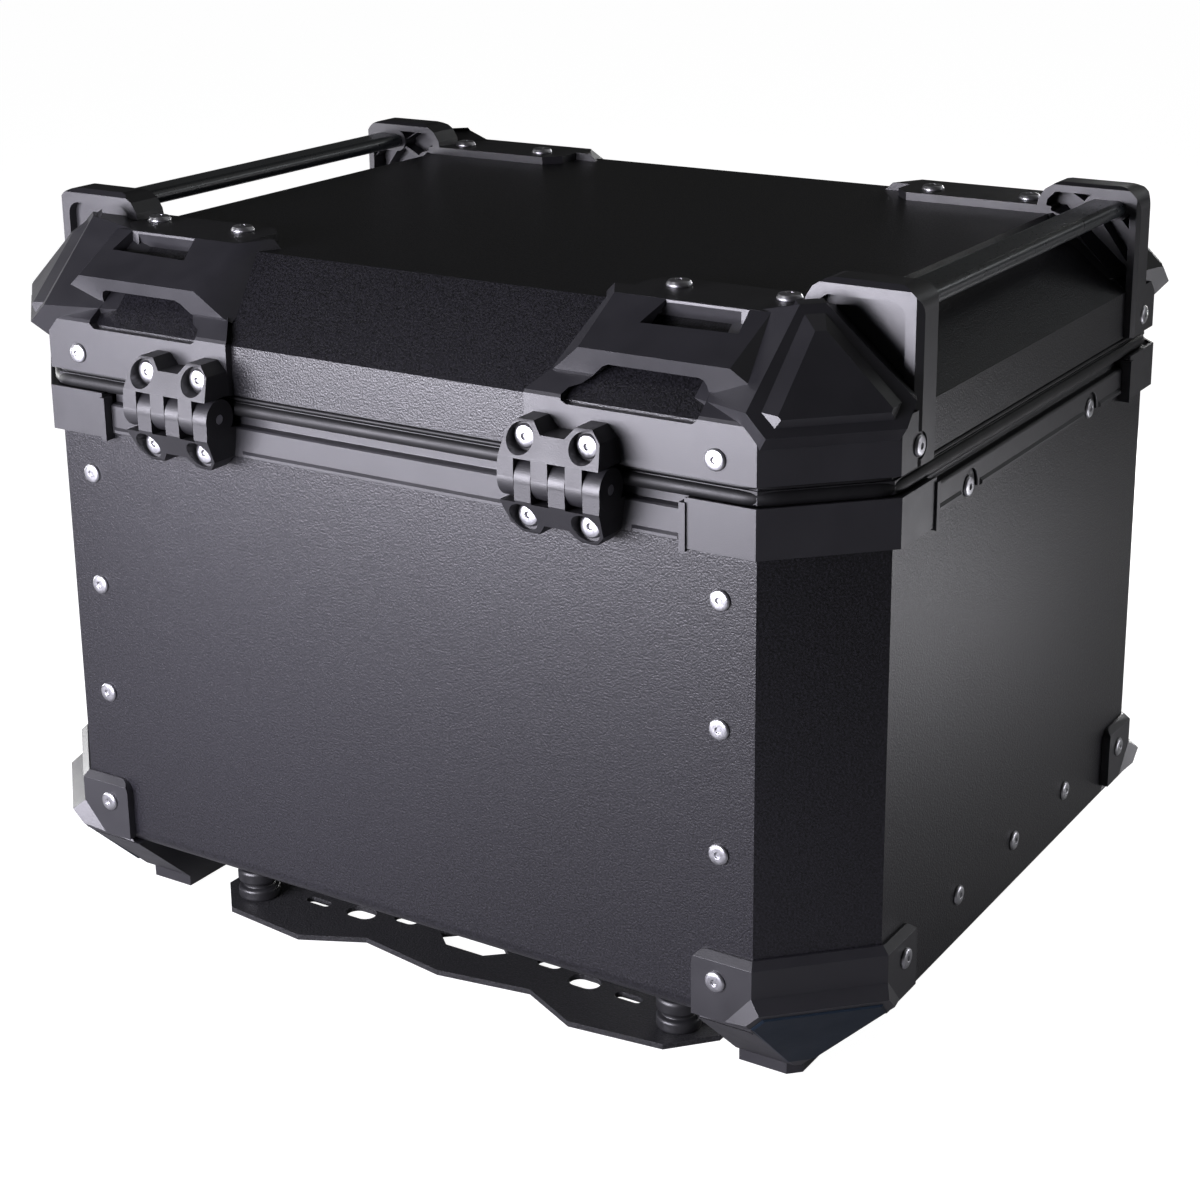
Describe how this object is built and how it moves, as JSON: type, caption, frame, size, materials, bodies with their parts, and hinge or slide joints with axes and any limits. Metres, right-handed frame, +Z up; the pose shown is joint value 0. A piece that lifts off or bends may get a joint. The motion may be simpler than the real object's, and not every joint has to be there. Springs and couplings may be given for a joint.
{
  "type": "motorcycle top case",
  "caption": "Rigid aluminium motorcycle top case with a hinged lid, moulded corner guards, carry handles on the lid's ends, riveted seams and a bolted base plate.",
  "frame": {"origin": "centre of the underside of the base plate, where the case sits on a rack", "axes": "+X along the case towards its right end, +Y towards the hinge side, +Z up"},
  "size_m": [0.5186, 0.4535, 0.3927],
  "materials": {
    "powder_coat": "fine-textured black powder coat on aluminium sheet",
    "moulding": "black moulded nylon with a fine grain",
    "zinc": "bright zinc-plated steel",
    "steel": "plain steel",
    "rubber": "black EPDM rubber",
    "tube": "satin black aluminium tube",
    "plate": "black painted steel plate",
    "liner": "dark felt mat"
  },
  "bodies": {
    "case": {"body_wrap": "powder_coat", "end_panel_left": "powder_coat", "end_panel_right": "powder_coat", "body_rivets": "zinc", "rim_corner_fl": "moulding", "rim_corner_fr": "moulding", "rim_corner_rl": "moulding", "rim_corner_rr": "moulding", "rim_strip_front": "moulding", "rim_strip_rear": "moulding", "rim_strip_left": "moulding", "rim_strip_right": "moulding", "rim_rivets": "zinc", "foot_guard_fl": "moulding", "foot_guard_fr": "moulding", "foot_guard_rl": "moulding", "foot_guard_rr": "moulding", "foot_guard_rivets": "zinc", "mounting_plate": "plate", "plate_pucks": "rubber", "plate_bolts": "zinc", "plate_nuts": "zinc", "plate_washers": "zinc", "floor_liner": "liner", "hinge_lower_left": "moulding", "hinge_lower_right": "moulding", "hinge_pin_left": "steel", "hinge_pin_right": "steel", "hinge_lower_screws": "zinc", "latch_base": "moulding", "latch_base_screws": "zinc", "latch_lever_pin": "steel"},
    "lid": {"lid_shell": "powder_coat", "lid_inner_frame": "moulding", "lid_gasket": "rubber", "lid_guard_fl": "moulding", "lid_guard_fr": "moulding", "lid_guard_rl": "moulding", "lid_guard_rr": "moulding", "lid_guard_side_screws": "zinc", "lid_guard_top_screws": "zinc", "handle_tube_left": "tube", "handle_tube_right": "tube", "hinge_upper_left": "moulding", "hinge_upper_right": "moulding", "hinge_upper_screws": "zinc", "latch_catch": "moulding", "latch_catch_screws": "zinc"},
    "latch_lever": {"latch_lever": "moulding", "latch_hook_pin": "steel"},
    "latch_hook": {"latch_hook": "steel"},
    "lock": {"lock_barrel": "steel", "lock_cam": "steel"}
  },
  "joints": [
    {"name": "lid_hinge", "type": "hinge", "parent": "case", "child": "lid", "pos_m": [0, 0.2165, 0.303], "axis": [-1, 0, 0], "range_deg": [0, 90]},
    {"name": "latch_lever_hinge", "type": "hinge", "parent": "case", "child": "latch_lever", "pos_m": [0, -0.211, 0.268], "axis": [-1, 0, 0], "range_deg": [0, 110]},
    {"name": "latch_hook_hinge", "type": "hinge", "parent": "latch_lever", "child": "latch_hook", "pos_m": [0, -0.216, 0.2593], "axis": [-1, 0, 0], "range_deg": [-140, 0]},
    {"name": "lock_turn", "type": "hinge", "parent": "latch_lever", "child": "lock", "pos_m": [0, -0.2132, 0.228], "axis": [0, 1, 0], "range_deg": [0, 90]}
  ],
  "couplings": [
    {"joint": "latch_hook_hinge", "follows": "latch_lever_hinge", "ratio": -1.2}
  ]
}
